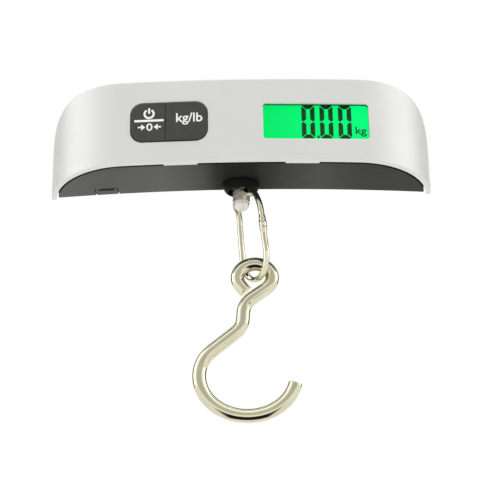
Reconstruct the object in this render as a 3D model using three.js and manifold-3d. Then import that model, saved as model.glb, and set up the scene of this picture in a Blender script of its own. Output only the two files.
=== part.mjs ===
// Digital luggage scale: a hand-held case with a display and two keys, a coin-cell bay,
// a bending-beam load cell and a swivelling stud that carries a wire link and a hook.
// Millimetres. In case coordinates x runs to the right, y runs back from the flat front
// and z runs up from the underside; the whole group is then moved so that its origin is
// the middle of the case on the load axis.

import * as THREE from 'three';
import { mergeVertices } from 'three/addons/utils/BufferGeometryUtils.js';
import Module from 'manifold-3d';

const wasm = await Module();
wasm.setup();

// ---------------------------------------------------------------- driving dimensions

const gap = 0.3; // clearance between neighbouring pieces

const caseLength = 130;
const caseDepth = 26.5;
const caseHeight = 29.5;
const archRadius = 1004; // every long edge rises to the middle on this radius

const flatHalf = 38.7; // half length of the flat front, before the ends curve back
const endCurveAngle = THREE.MathUtils.degToRad(81.5); // how far the end curve turns
const backHeight = 8; // height of the upright part of the back
const coverThickness = 1.7;
const housingWall = 1.6;
const housingInset = 0.3; // the housing sits this far inside the cover's outline

const keyField = { x0: -35.9, x1: -10.6, z0: 7.4, z1: 21.5, radius: 4.1 };
const keySplit = -24.5;
const keyProud = 0.5;

const windowField = { x0: 7.6, x1: 42.2, z0: 7.8, z1: 20.4, radius: 1 };

const loadAxisY = 20.5;
const collar = {
  outer: 6.2,
  inner: 4.5,
  drop: 2.85,
  flareWidth: 2.2, // the outside is a quarter ellipse, cut off by the rim
  flareHeight: 3.2,
  roof: 0.9,
  neck: 3.3,
  bore: 2.5,
};
const stud = {
  radius: 2.9,
  shank: 2,
  shoulder: -1.2,
  end: -6.95,
  dome: 2.8,
  top: 12.9,
  holeZ: -3.1,
  holeRadius: 1.7,
};

const link = {
  wire: 1,
  top: -2.8,
  turn: THREE.MathUtils.degToRad(58), // plan angle of the link, right leg to the front
  lean: THREE.MathUtils.degToRad(7.3), // swing about the bar
  bottomX: 2.9, // middle of the half circle at the bottom
  bottomZ: -24.3,
  bottomRadius: 7.1,
  weldZ: -14.3,
};

// Bends of the link across and down from the middle of its top bar: the bar droops on
// both sides of the stud, then each leg runs down to the half circle.
const rightBends = [[2.4, -0.15], [4.5, -1.8], [7.7, -3], [9.8, -7.5], [10.2, -12.5], [10, -19.5]];
const leftBends = [[-4.1, -19.5], [-3.6, -12.5], [-3.1, -7], [-4.4, -3.4], [-3.1, -0.2]];

const hook = {
  wire: 2.25,
  planeY: 19.9,
  eyeX: 4.05,
  eyeZ: -33.6,
  eyeHalfWidth: 5.75,
  eyeHalfHeight: 4.8,
  eyeStart: THREE.MathUtils.degToRad(214.5),
  eyeEnd: THREE.MathUtils.degToRad(-50),
  eyeRun: 2.7, // straight length left at the cut end
  neckRadius: 6.7,
  neckLength: 0.9,
  shoulderRadius: 6.4,
  shoulderTurn: THREE.MathUtils.degToRad(52),
  sideRadius: 10.3,
  bowlX: 1.2,
  bowlHalfWidth: 15.6,
  bowlBottom: -79.7,
  tip: THREE.MathUtils.degToRad(-12),
};

const beam = { half: 26, y0: 17.4, y1: 23.6, z0: 5.3, z1: 10.7, screwX: 22.5 };
const plate = { half: 27, z0: 3, z1: 4 };
const spacer = { z0: 4.3, z1: 5 };
const board = { x0: -41, x1: 49.6, y0: 8, y1: 9.2, z0: 2.6, z1: 23.4 };
const casePosts = [-30.5, 30.5, 54];
const postZ = 4.2;
const postRadius = 1.7;
const boardPosts = [[-3.4, 14], [47.3, 14]];

const bay = { x: -45.5, door0: -56.6, door1: -34.2, doorTop: 22.6, tabHalf: 4.3, tabDepth: 6 };
const coin = { x: -44.6, radius: 10, thickness: 3.2, y: 12.3, z: 12.2 };

// ---------------------------------------------------------------- materials

function material(color, roughness, metalness = 0) {
  return new THREE.MeshStandardMaterial({ color, roughness, metalness });
}

const finish = {
  silver: material(0xd9dbd5, 0.42, 0.55),
  black: material(0x2a2b27, 0.45),
  keyGrey: material(0x3b3c37, 0.62),
  lens: material(0xdfe6df, 0.08),
  display: material(0x0bd86a, 0.3),
  white: material(0xe9ece6, 0.5),
  board: material(0x1f5a38, 0.55),
  steel: material(0xc9c7b4, 0.22, 1),
  zinc: material(0xb5b6b2, 0.35, 0.95),
  aluminium: material(0xc4c7c9, 0.4, 0.9),
  film: material(0xb97a35, 0.5),
  brass: material(0xc7a75a, 0.35, 0.9),
};

// ---------------------------------------------------------------- solids

function solid(geometry) {
  const bare = geometry.clone();
  bare.deleteAttribute('normal');
  bare.deleteAttribute('uv');
  const merged = mergeVertices(bare, 1e-4);
  const vertProperties = new Float32Array(merged.attributes.position.array);
  const triVerts = new Uint32Array(merged.index.array);
  return new wasm.Manifold(new wasm.Mesh({ numProp: 3, vertProperties, triVerts }));
}

function toGeometry(manifold) {
  const mesh = manifold.getMesh();
  const geometry = new THREE.BufferGeometry();
  geometry.setAttribute('position', new THREE.BufferAttribute(mesh.vertProperties, 3));
  geometry.setIndex(new THREE.BufferAttribute(mesh.triVerts, 1));
  return geometry;
}

function extruded(shape, depth, steps = 1) {
  return new THREE.ExtrudeGeometry(shape, { depth, steps, bevelEnabled: false, curveSegments: 3 });
}

// A shape drawn in x and y, raised from z0 to z1.
function prismZ(shape, z0, z1) {
  return extruded(shape, z1 - z0).translate(0, 0, z0);
}

// A shape drawn in x and z, run from y0 back to y1.
function prismY(shape, y0, y1) {
  const turn = new THREE.Matrix4().makeBasis(
    new THREE.Vector3(1, 0, 0),
    new THREE.Vector3(0, 0, 1),
    new THREE.Vector3(0, -1, 0),
  );
  return extruded(shape, y1 - y0).applyMatrix4(turn).translate(0, y1, 0);
}

// A shape drawn in y and z, run from x0 to x1.
function prismX(shape, x0, x1, steps = 1) {
  const turn = new THREE.Matrix4().makeBasis(
    new THREE.Vector3(0, 1, 0),
    new THREE.Vector3(0, 0, 1),
    new THREE.Vector3(1, 0, 0),
  );
  return extruded(shape, x1 - x0, steps).applyMatrix4(turn).translate(x0, 0, 0);
}

function box(x0, x1, y0, y1, z0, z1) {
  const geometry = new THREE.BoxGeometry(x1 - x0, y1 - y0, z1 - z0);
  return geometry.translate((x0 + x1) / 2, (y0 + y1) / 2, (z0 + z1) / 2);
}

// An upright cylinder about (x, y), from z0 to z1.
function post(x, y, radius, z0, z1, sides = 24) {
  const geometry = new THREE.CylinderGeometry(radius, radius, z1 - z0, sides);
  return geometry.rotateX(Math.PI / 2).translate(x, y, (z0 + z1) / 2);
}

// A cylinder along y about (x, z), from y0 to y1.
function pinY(x, z, radius, y0, y1, sides = 20) {
  const geometry = new THREE.CylinderGeometry(radius, radius, y1 - y0, sides);
  return geometry.translate(x, (y0 + y1) / 2, z);
}

function turned(profile, x, y, sides = 32) {
  const points = profile.map(([r, z]) => new THREE.Vector2(r, z));
  return new THREE.LatheGeometry(points, sides).rotateX(Math.PI / 2).translate(x, y, 0);
}

function outline(points) {
  return new THREE.Shape(points.map(([a, b]) => new THREE.Vector2(a, b)));
}

function roundedRect(x0, x1, z0, z1, corners) {
  const [bl, br, tr, tl] = corners;
  const shape = new THREE.Shape();
  shape.moveTo(x0 + bl, z0);
  shape.lineTo(x1 - br, z0);
  if (br) shape.absarc(x1 - br, z0 + br, br, -Math.PI / 2, 0);
  shape.lineTo(x1, z1 - tr);
  if (tr) shape.absarc(x1 - tr, z1 - tr, tr, 0, Math.PI / 2);
  shape.lineTo(x0 + tl, z1);
  if (tl) shape.absarc(x0 + tl, z1 - tl, tl, Math.PI / 2, Math.PI);
  shape.lineTo(x0, z0 + bl);
  if (bl) shape.absarc(x0 + bl, z0 + bl, bl, Math.PI, 1.5 * Math.PI);
  return shape;
}

// How far the arched case has dropped at x, below its middle.
function archDrop(x) {
  return (x * x) / (2 * archRadius);
}

function arched(geometry) {
  const position = geometry.attributes.position;
  for (let i = 0; i < position.count; i += 1) {
    position.setZ(i, position.getZ(i) - archDrop(position.getX(i)));
  }
  return geometry;
}

// ---------------------------------------------------------------- case outlines

const endA = (caseLength / 2 - flatHalf) / Math.sin(endCurveAngle);
const endB = caseDepth / (1 - Math.cos(endCurveAngle));

// Plan outline of the case, moved inwards by offset; it ends at the back face.
function planOutline(offset, back = caseDepth) {
  const right = [];
  const endSteps = 14;
  const flatSteps = 5;
  for (let i = 0; i < flatSteps; i += 1) {
    right.push([(flatHalf * i) / flatSteps, offset]);
  }
  for (let i = 0; i <= endSteps; i += 1) {
    const t = (endCurveAngle * i) / endSteps;
    const normal = new THREE.Vector2(Math.sin(t) / endA, -Math.cos(t) / endB).normalize();
    const x = flatHalf + endA * Math.sin(t) - offset * normal.x;
    const y = endB * (1 - Math.cos(t)) - offset * normal.y;
    if (y < back - 0.05) right.push([x, y]);
  }
  const last = right[right.length - 1];
  const edge = last[0] + (back - last[1]) * Math.tan(Math.PI / 2 - endCurveAngle);
  right.push([edge, back]);
  const backSteps = 6;
  for (let i = backSteps - 1; i > 0; i -= 1) {
    right.push([(edge * i) / backSteps, back]);
  }
  const left = right.slice(1).reverse().map(([x, y]) => [-x, y]);
  return outline([...right, [0, back], ...left]);
}

// Height of the case at depth y: a quarter ellipse over the upright part of the back.
function profileOutline(inset, front) {
  const points = [[front, inset], [caseDepth - inset, inset]];
  const steps = 12;
  for (let i = 0; i <= steps; i += 1) {
    const t = (Math.PI / 2) * (i / steps);
    const y = (caseDepth - inset) * Math.cos(t);
    const z = backHeight + (caseHeight - backHeight - inset) * Math.sin(t);
    points.push([y, z]);
  }
  points.push([front, caseHeight - inset]);
  return outline(points);
}

function sideBlock(inset) {
  const half = caseLength / 2 + 5;
  return solid(arched(prismX(profileOutline(inset, -5), -half, half, 14)));
}

function caseBlock(offset, inset) {
  const plan = prismZ(planOutline(offset, caseDepth - inset), -5, caseHeight + 5);
  return solid(plan).intersect(sideBlock(inset));
}

const coverOffset = coverThickness + gap;
const wallInset = housingInset + housingWall;
const housingShell = caseBlock(coverOffset, housingInset)
  .subtract(caseBlock(coverOffset + housingWall, wallInset))
  .subtract(sideBlock(wallInset).intersect(solid(box(-70, 70, -5, board.y0 - gap, -5, 40))));

// ---------------------------------------------------------------- case pieces

// An opening through the front; its edges slope with the arch.
function frontOpening({ x0, x1, z0, z1, radius }) {
  const shape = roundedRect(x0, x1, z0, z1, Array(4).fill(radius));
  return solid(arched(prismY(shape, -3, 4)));
}

function frontCover() {
  const innerPlan = prismZ(planOutline(coverThickness, caseDepth + 3), -6, caseHeight + 6);
  let cover = caseBlock(0, 0).subtract(solid(innerPlan));
  cover = cover.subtract(frontOpening(keyField)).subtract(frontOpening(windowField));
  const root = coverThickness - 0.4;
  const inside = solid(prismZ(planOutline(root, caseDepth), -6, caseHeight + 6));
  for (const x of casePosts) {
    const z = postZ - archDrop(x);
    const shaft = solid(pinY(x, z, postRadius, 0.5, caseDepth - 4.2));
    const pilot = solid(pinY(x, z, 0.9, caseDepth - 12, caseDepth, 12));
    cover = cover.add(shaft.intersect(inside)).subtract(pilot);
  }
  for (const [x, z] of boardPosts) {
    const shaft = solid(pinY(x, z, 1.7, 0.5, board.y0 - gap));
    const pilot = solid(pinY(x, z, 0.8, board.y0 - 4, board.y0, 12));
    cover = cover.add(shaft.intersect(inside)).subtract(pilot);
  }
  for (const x of [-19.6, 20.2]) {
    const tab = box(x - 5.5, x + 5.5, root, 5.4, 2.3, 3.3);
    const barb = box(x - 5.5, x + 5.5, 4.5, 5.4, 2.2, 4);
    cover = cover.add(solid(tab)).add(solid(barb));
  }
  return toGeometry(cover);
}

// The door takes a stretch of the curved back and a small latch tab of the underside.
function doorRegion(clear) {
  const drop = archDrop(bay.x);
  const low = 2.4 - drop + clear;
  const back = box(bay.door0 + clear, bay.door1 - clear, 15.8, 32, low, bay.doorTop - drop - clear);
  const tabLeft = bay.x - bay.tabHalf + clear;
  const tabRight = bay.x + bay.tabHalf - clear;
  const tab = box(tabLeft, tabRight, caseDepth - bay.tabDepth + clear, 32, -5, 4);
  return solid(back).add(solid(tab));
}

function rearHousing() {
  let housing = housingShell.subtract(doorRegion(0));
  housing = housing.subtract(solid(post(0, loadAxisY, collar.neck + gap, -3, 3, 28)));
  for (const side of [-1, 1]) {
    const x = side * beam.screwX;
    const rib = box(x - 4, x + 4, beam.y0, beam.y1, 1.2, plate.z0 - gap);
    housing = housing.add(solid(rib)).subtract(solid(post(x, loadAxisY, 1.5, 0.9, 5, 16)));
  }
  for (const x of casePosts) {
    const z = postZ - archDrop(x);
    const passage = solid(pinY(x, z, postRadius + gap, 0, caseDepth - 5));
    const seat = solid(pinY(x, z, 2.8, caseDepth - 3.9, caseDepth - housingInset));
    const head = solid(pinY(x, z, 2.1 + gap, caseDepth - 1.9, caseDepth + 2));
    const shaft = solid(pinY(x, z, 1.2, caseDepth - 5, caseDepth));
    housing = housing.subtract(passage).add(seat).subtract(head).subtract(shaft);
  }
  return toGeometry(housing);
}

function batteryDoor() {
  const door = housingShell.intersect(doorRegion(gap));
  const pad = box(bay.x - 5, bay.x + 5, coin.y + coin.thickness + 1, caseDepth - 1.5, 8, 9.2);
  return toGeometry(door.add(solid(pad)));
}

// A bell-shaped ring under the case; its neck snaps through the floor of the housing.
function guideCollar() {
  const { outer, inner, drop, flareWidth, flareHeight, roof, neck, bore } = collar;
  const floorTop = wallInset + gap;
  const lip = 0.5;
  const profile = [[bore, floorTop + 0.5], [bore, -roof], [inner, -roof], [inner, -drop]];
  const steps = 6;
  const rimAngle = Math.asin(drop / flareHeight);
  for (let i = steps; i >= 0; i -= 1) {
    const t = (rimAngle * i) / steps;
    profile.push([outer - flareWidth * (1 - Math.cos(t)), -flareHeight * Math.sin(t)]);
  }
  profile.push([neck, 0], [neck, floorTop], [neck + lip, floorTop]);
  profile.push([neck + lip, floorTop + 0.5], [bore, floorTop + 0.5]);
  return turned(profile, 0, loadAxisY, 28);
}

function caseScrew(x) {
  const z = postZ - archDrop(x);
  const head = solid(pinY(x, z, 2.1, caseDepth - 1.6, caseDepth - 0.6));
  const shaft = solid(pinY(x, z, 0.7, caseDepth - 10, caseDepth - 1.4, 12));
  const slot = solid(box(x - 1.4, x + 1.4, caseDepth - 1.1, caseDepth, z - 0.3, z + 0.3));
  const cross = solid(box(x - 0.3, x + 0.3, caseDepth - 1.1, caseDepth, z - 1.4, z + 1.4));
  return toGeometry(head.add(shaft).subtract(slot).subtract(cross));
}

// ---------------------------------------------------------------- display

// A block behind the window, sloped with the window's edges. The margins say how far it
// reaches past the window at each side, below and above.
function displayBlock(sides, below, above, y0, y1) {
  const { x0, x1, z0, z1 } = windowField;
  return arched(box(x0 - sides, x1 + sides, y0, y1, z0 - below, z1 + above));
}

function displayFrame() {
  const rim = solid(displayBlock(2.1, 1.4, 1.4, 3.5, 7.5));
  return toGeometry(rim.subtract(solid(displayBlock(1.3, 0.7, 0.7, 2, 9))));
}

// The backlight leaves room at its lower edge for the strip connector.
function backlight() {
  return displayBlock(1, -1.8, 0.4, 5.3, 7.1);
}

function stripConnector() {
  const height = windowField.z1 - windowField.z0;
  return displayBlock(-2, 0.4, 1.5 - height, 5.3, 7.7);
}

// ---------------------------------------------------------------- keys

const keyLevel = (keyField.z0 + keyField.z1) / 2 - archDrop((keyField.x0 + keyField.x1) / 2);

// A cap that fills its side of the opening, on a wider plate behind the cover.
function key(x0, x1, corners, stemX) {
  const low = keyField.z0 + gap;
  const high = keyField.z1 - gap;
  const flange = 0.7;
  const left = corners[0] ? flange : 0;
  const right = corners[1] ? flange : 0;
  const cap = solid(arched(prismY(roundedRect(x0, x1, low, high, corners), -keyProud, 2.4)));
  const plateShape = roundedRect(x0 - left, x1 + right, low - flange, high + flange, corners);
  const backPlate = solid(arched(prismY(plateShape, coverThickness + gap, 3.2)));
  const stem = solid(pinY(stemX, keyLevel, 1.2, 3, 4.6, 16));
  return toGeometry(cap.add(backPlate).add(stem));
}

function tactSwitch(x) {
  const body = solid(box(x - 3, x + 3, 6, board.y0 - gap, keyLevel - 3, keyLevel + 3));
  return toGeometry(body.subtract(solid(pinY(x, keyLevel, 1.3 + gap, 5, 7.1))));
}

function plunger(x) {
  return pinY(x, keyLevel, 1.3, 4.9, 6.1);
}

// ---------------------------------------------------------------- board

function circuitBoard() {
  let sheet = solid(box(board.x0, board.x1, board.y0, board.y1, board.z0, board.z1));
  for (const x of casePosts.slice(0, 2)) {
    sheet = sheet.subtract(solid(pinY(x, postZ - archDrop(x), postRadius + 0.5, 5, 12)));
  }
  for (const [x, z] of boardPosts) {
    sheet = sheet.subtract(solid(pinY(x, z, 1.05, 5, 12, 16)));
  }
  return toGeometry(sheet);
}

function boardScrew([x, z]) {
  const head = solid(pinY(x, z, 1.9, board.y1 + gap, board.y1 + 1.3, 16));
  const shaft = solid(pinY(x, z, 0.55, board.y0 - 3.4, board.y1 + 0.5, 12));
  return toGeometry(head.add(shaft));
}

// The controller under its round blob of potting resin.
function controllerBlob() {
  const profile = [[0, 0], [4.6, 0], [4.2, 0.6], [2.6, 1.1], [0, 1.3]];
  const points = profile.map(([r, h]) => new THREE.Vector2(r, h));
  return new THREE.LatheGeometry(points, 20).translate(22, board.y1 + gap, 15);
}

// ---------------------------------------------------------------- battery bay

const coinLevel = coin.z - archDrop(coin.x);

function coinCell() {
  const can = solid(pinY(coin.x, coinLevel, coin.radius, coin.y + 0.5, coin.y + coin.thickness, 36));
  return toGeometry(can.add(solid(pinY(coin.x, coinLevel, 8.8, coin.y, coin.y + 0.6, 36))));
}

function batteryHolder() {
  const ringOuter = solid(pinY(coin.x, coinLevel, coin.radius + 1.5, 10.2, coin.y + 2.2, 36));
  const ringInner = solid(pinY(coin.x, coinLevel, coin.radius + gap, 11, 20, 36));
  const topCut = solid(box(-60, -30, 9, 20, coinLevel + 4, 40));
  const tray = ringOuter.subtract(ringInner).subtract(topCut);
  return toGeometry(tray.intersect(caseBlock(coverOffset + housingWall + gap, wallInset + gap)));
}

function negativeContact() {
  return box(coin.x - 2.5, coin.x + 2.5, 11.3, 11.7, coinLevel - 5, coinLevel + 3.6);
}

function positiveContact() {
  const top = coinLevel + coin.radius + gap;
  const strip = box(coin.x - 2.5, coin.x + 2.5, board.y1 + gap, coin.y + 2.8, top, top + 0.4);
  const leg = box(coin.x - 2.5, coin.x + 2.5, board.y1 + gap, board.y1 + gap + 0.4, top - 4, top + 0.4);
  return toGeometry(solid(strip).add(solid(leg)));
}

// ---------------------------------------------------------------- load cell

function screwHole(x) {
  return solid(post(x, loadAxisY, 1.5, 0, 20, 16));
}

// A beam held at both ends; two pairs of joined bores leave thin webs that bend.
function loadCell() {
  let bar = solid(box(-beam.half, beam.half, beam.y0, beam.y1, beam.z0, beam.z1));
  const middle = (beam.z0 + beam.z1) / 2;
  for (const side of [-1, 1]) {
    for (const x of [8, 14]) {
      bar = bar.subtract(solid(pinY(side * x, middle, 1.9, 10, 30, 20)));
    }
    const slot = box(side * 11 - 3, side * 11 + 3, 10, 30, middle - 0.8, middle + 0.8);
    bar = bar.subtract(solid(slot)).subtract(screwHole(side * beam.screwX));
  }
  return toGeometry(bar.subtract(solid(post(0, loadAxisY, stud.shank + gap, 0, 20))));
}

function loadPlate() {
  const shape = roundedRect(-plate.half, plate.half, beam.y0, beam.y1, Array(4).fill(2));
  let strap = solid(prismZ(shape, plate.z0, plate.z1));
  strap = strap.subtract(solid(post(0, loadAxisY, stud.shank + 2 * gap, 0, 9)));
  for (const side of [-1, 1]) {
    strap = strap.subtract(screwHole(side * beam.screwX));
  }
  return toGeometry(strap);
}

function beamSpacer(side) {
  const x = side * beam.screwX;
  const pad = solid(box(x - 3.7, x + 3.7, beam.y0, beam.y1, spacer.z0, spacer.z1));
  return toGeometry(pad.subtract(screwHole(x)));
}

function beamScrew(side) {
  const seat = beam.z1 + gap;
  const profile = [[0, 1.8], [1.2, 1.8], [1.2, seat], [2.3, seat], [2.3, seat + 0.8], [1.8, seat + 1.2]];
  return turned([...profile, [0, seat + 1.2]], side * beam.screwX, loadAxisY, 18);
}

function strainGauge(side) {
  const x = side * 11;
  return box(x - 3.2, x + 3.2, loadAxisY - 2, loadAxisY + 2, beam.z1 + 0.15, beam.z1 + 0.35);
}

// A flat lead from the gauges over the front of the beam to the back of the board.
function sensorLead() {
  const thickness = 0.35;
  const route = [[18.2, 11.4], [15.2, 11.4], [12.6, 10.6], [9.6, 10.6]];
  const back = route.map(([y, z]) => [y, z + thickness]).reverse();
  return prismX(outline([...route, ...back]), 8, 13.5);
}

// ---------------------------------------------------------------- stud, link and hook

function studPiece() {
  const { radius, shank, shoulder, end, dome, top } = stud;
  const profile = [[0, end - dome]];
  const steps = 6;
  for (let i = 1; i <= steps; i += 1) {
    const t = (Math.PI / 2) * (i / steps);
    profile.push([(radius - 0.2) * Math.sin(t), end - dome * Math.cos(t)]);
  }
  profile.push([radius, end + 0.2], [radius, shoulder - 0.3], [radius - 0.3, shoulder]);
  profile.push([shank, shoulder], [shank, top], [0, top]);
  const pin = solid(turned(profile, 0, loadAxisY, 30));
  const bore = new THREE.CylinderGeometry(stud.holeRadius, stud.holeRadius, 12, 20);
  bore.rotateZ(Math.PI / 2).rotateZ(-link.turn).translate(0, loadAxisY, stud.holeZ);
  return toGeometry(pin.subtract(solid(bore)));
}

// A spring clip in the stud's groove keeps it from dropping out of the beam.
function retainingClip() {
  const disc = solid(post(0, loadAxisY, 3.2, 11.8, 12.4));
  return toGeometry(disc.subtract(solid(post(0, loadAxisY, stud.shank + gap, 10, 20))));
}

function thrustWasher() {
  const disc = solid(post(0, loadAxisY, 3.1, beam.z1 + gap, beam.z1 + gap + 0.5));
  return toGeometry(disc.subtract(solid(post(0, loadAxisY, stud.shank + gap, 10, 20))));
}

// A path drawn in x and z, read as a curve in space at a fixed depth y.
class PlanarCurve extends THREE.Curve {
  constructor(path, y = 0) {
    super();
    this.path = path;
    this.y = y;
  }

  getPoint(t, target = new THREE.Vector3()) {
    const point = this.path.getPointAt(Math.min(1, Math.max(0, t)));
    return target.set(point.x, this.y, point.y);
  }
}

function wire(path, y, radius, sides, steps) {
  const section = new THREE.Shape().absarc(0, 0, radius, 0, 2 * Math.PI, false);
  const settings = { extrudePath: new PlanarCurve(path, y), steps, curveSegments: sides / 2 };
  return new THREE.ExtrudeGeometry(section, settings);
}

// A hand-bent closed loop of wire, joined by a weld on its right leg. Drawn with the
// middle of its top bar at the origin.
function linkLoop() {
  const { bottomX, bottomZ, bottomRadius, wire: radius, weldZ } = link;
  const bends = [[0, 0], ...rightBends];
  for (let i = 0; i <= 4; i += 1) {
    const t = (Math.PI * i) / 4;
    bends.push([bottomX + bottomRadius * Math.cos(t), bottomZ - bottomRadius * Math.sin(t)]);
  }
  const points = [...bends, ...leftBends].map(([x, z]) => new THREE.Vector3(x, 0, z));
  const curve = new THREE.CatmullRomCurve3(points, true, 'catmullrom', 0.5);
  const loop = solid(new THREE.TubeGeometry(curve, 80, radius, 10, true));
  const bead = new THREE.SphereGeometry(1.35, 12, 8).scale(1, 1, 1.9);
  return toGeometry(loop.add(solid(bead.translate(10.2, 0, weldZ))));
}

// One bent wire: an eye whose cut end faces the neck, an S-shaped neck and a round bowl.
function hookPath() {
  const { eyeX, eyeZ, eyeHalfWidth, eyeHalfHeight, eyeStart, eyeEnd, eyeRun } = hook;
  const { neckRadius, neckLength, shoulderRadius, shoulderTurn, sideRadius } = hook;
  const { bowlX, bowlHalfWidth, bowlBottom } = hook;
  const onEye = (t) => [eyeX + eyeHalfWidth * Math.cos(t), eyeZ + eyeHalfHeight * Math.sin(t)];
  const slope = (t) => Math.atan2(eyeHalfHeight * Math.cos(t), -eyeHalfWidth * Math.sin(t));
  const [startX, startZ] = onEye(eyeStart);
  const startSlope = slope(eyeStart);
  const path = new THREE.Path();
  path.moveTo(startX + eyeRun * Math.cos(startSlope), startZ + eyeRun * Math.sin(startSlope));
  path.lineTo(startX, startZ);
  path.absellipse(eyeX, eyeZ, eyeHalfWidth, eyeHalfHeight, eyeStart, eyeEnd, true);

  const [exitX, exitZ] = onEye(eyeEnd);
  const exitSlope = slope(eyeEnd);
  const neckInX = neckRadius * (1 - Math.sin(exitSlope));
  const neckInZ = exitZ - (exitX - neckInX) * Math.tan(exitSlope);
  const neckZ = neckInZ - neckRadius * Math.cos(exitSlope);
  path.lineTo(neckInX, neckInZ);
  path.absarc(neckRadius, neckZ, neckRadius, Math.PI / 2 + exitSlope, Math.PI, false);
  path.lineTo(0, neckZ - neckLength);
  path.absarc(-shoulderRadius, neckZ - neckLength, shoulderRadius, 0, -shoulderTurn, true);

  const cos = Math.cos(shoulderTurn);
  const sin = Math.sin(shoulderTurn);
  const shoulderX = -shoulderRadius * (1 - cos);
  const shoulderZ = neckZ - neckLength - shoulderRadius * sin;
  const sideX = bowlX - bowlHalfWidth;
  const turnX = sideX + sideRadius * (1 - cos);
  const turnZ = shoulderZ - ((shoulderX - turnX) * cos) / sin;
  const bowlZ = turnZ - sideRadius * sin;
  path.lineTo(turnX, turnZ);
  path.absarc(sideX + sideRadius, bowlZ, sideRadius, Math.PI - shoulderTurn, Math.PI, false);
  const bowlDepth = bowlZ - bowlBottom;
  path.absellipse(bowlX, bowlZ, bowlHalfWidth, bowlDepth, Math.PI, 2 * Math.PI + hook.tip, false);
  return path;
}

// ---------------------------------------------------------------- assembly

const scale = new THREE.Group();
scale.position.set(0, -loadAxisY, -caseHeight / 2);

function add(name, geometry, look, parent = scale) {
  const mesh = new THREE.Mesh(geometry, look);
  mesh.name = name;
  parent.add(mesh);
  return mesh;
}

add('front_cover', frontCover(), finish.silver);
add('rear_housing', rearHousing(), finish.black);
add('battery_door', batteryDoor(), finish.black);
add('guide_collar', guideCollar(), finish.black);
casePosts.forEach((x, i) => add(`case_screw_${i + 1}`, caseScrew(x), finish.zinc));

add('lcd_lens', displayBlock(1, 1.2, 1.2, 2.4, 3.2), finish.lens);
add('lcd_frame', displayFrame(), finish.white);
add('lcd_cell', displayBlock(1, 0.4, 0.4, 3.6, 5), finish.display);
add('lcd_backlight', backlight(), finish.white);
add('lcd_strip_connector', stripConnector(), finish.keyGrey);

const keyCorner = keyField.radius - gap;
const splitHalf = gap / 2;
const powerStem = -30.2;
const unitStem = -17.5;
add(
  'power_zero_key',
  key(keyField.x0 + gap, keySplit - splitHalf, [keyCorner, 0, 0, keyCorner], powerStem),
  finish.keyGrey,
);
add(
  'unit_key',
  key(keySplit + splitHalf, keyField.x1 - gap, [0, keyCorner, keyCorner, 0], unitStem),
  finish.keyGrey,
);
add('power_plunger', plunger(powerStem), finish.white);
add('unit_plunger', plunger(unitStem), finish.white);
add('power_switch', tactSwitch(powerStem), finish.black);
add('unit_switch', tactSwitch(unitStem), finish.black);

add('circuit_board', circuitBoard(), finish.board);
add('controller_blob', controllerBlob(), finish.black);
boardPosts.forEach((place, i) => add(`board_screw_${i + 1}`, boardScrew(place), finish.zinc));

add('coin_cell', coinCell(), finish.steel);
add('battery_holder', batteryHolder(), finish.black);
add('negative_contact', negativeContact(), finish.brass);
add('positive_contact', positiveContact(), finish.brass);

add('load_cell', loadCell(), finish.aluminium);
add('load_plate', loadPlate(), finish.zinc);
for (const [label, side] of [['left', -1], ['right', 1]]) {
  add(`beam_spacer_${label}`, beamSpacer(side), finish.zinc);
  add(`beam_screw_${label}`, beamScrew(side), finish.zinc);
  add(`strain_gauge_${label}`, strainGauge(side), finish.film);
}
add('sensor_lead', sensorLead(), finish.film);
add('thrust_washer', thrustWasher(), finish.brass);
add('stud', studPiece(), finish.steel);
add('retaining_clip', retainingClip(), finish.zinc);

const linkTurn = new THREE.Group();
linkTurn.position.set(0, loadAxisY, link.top);
linkTurn.rotation.z = -link.turn;
const linkLean = new THREE.Group();
linkLean.rotation.x = link.lean;
scale.add(linkTurn);
linkTurn.add(linkLean);
add('link', linkLoop(), finish.steel, linkLean);

add('hook', wire(hookPath(), hook.planeY, hook.wire, 12, 84), finish.steel);

export default scale;
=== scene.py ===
"""Looks for a digital luggage scale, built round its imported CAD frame.

Lengths in the modelling code are millimetres in case coordinates: x to the right, y back
from the flat front, z up from the underside. row() turns them into the frame's metres.
"""

import math

import bmesh
import bpy
from mathutils import Euler, Matrix, Vector


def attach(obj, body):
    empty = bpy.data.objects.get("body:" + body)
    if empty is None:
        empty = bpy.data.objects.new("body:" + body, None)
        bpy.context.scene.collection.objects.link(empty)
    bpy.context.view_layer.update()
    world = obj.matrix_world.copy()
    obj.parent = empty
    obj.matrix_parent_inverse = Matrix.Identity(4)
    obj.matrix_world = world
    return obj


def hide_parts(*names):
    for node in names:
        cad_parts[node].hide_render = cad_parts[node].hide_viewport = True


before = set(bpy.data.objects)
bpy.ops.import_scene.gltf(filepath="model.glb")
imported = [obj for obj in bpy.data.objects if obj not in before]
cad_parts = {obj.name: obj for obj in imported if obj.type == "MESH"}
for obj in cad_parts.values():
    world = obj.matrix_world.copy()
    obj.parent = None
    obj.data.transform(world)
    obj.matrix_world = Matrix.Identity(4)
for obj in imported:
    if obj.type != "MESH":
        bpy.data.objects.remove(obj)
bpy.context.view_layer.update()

MM = 0.001
CASE_ORIGIN = Vector((0, 20.5, 14.75))


def row(point):
    return (Vector(point) - CASE_ORIGIN) * MM


# ---------------------------------------------------------------- camera

CAMERA_PLACE = (0.00111, -0.3958, -0.17921)
CAMERA_AZIMUTH = math.radians(0.218)
CAMERA_ELEVATION = math.radians(19.593)
CAMERA_ROLL = math.radians(-0.998)
CAMERA_LENS = 90.94
SENSOR = 36

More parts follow.
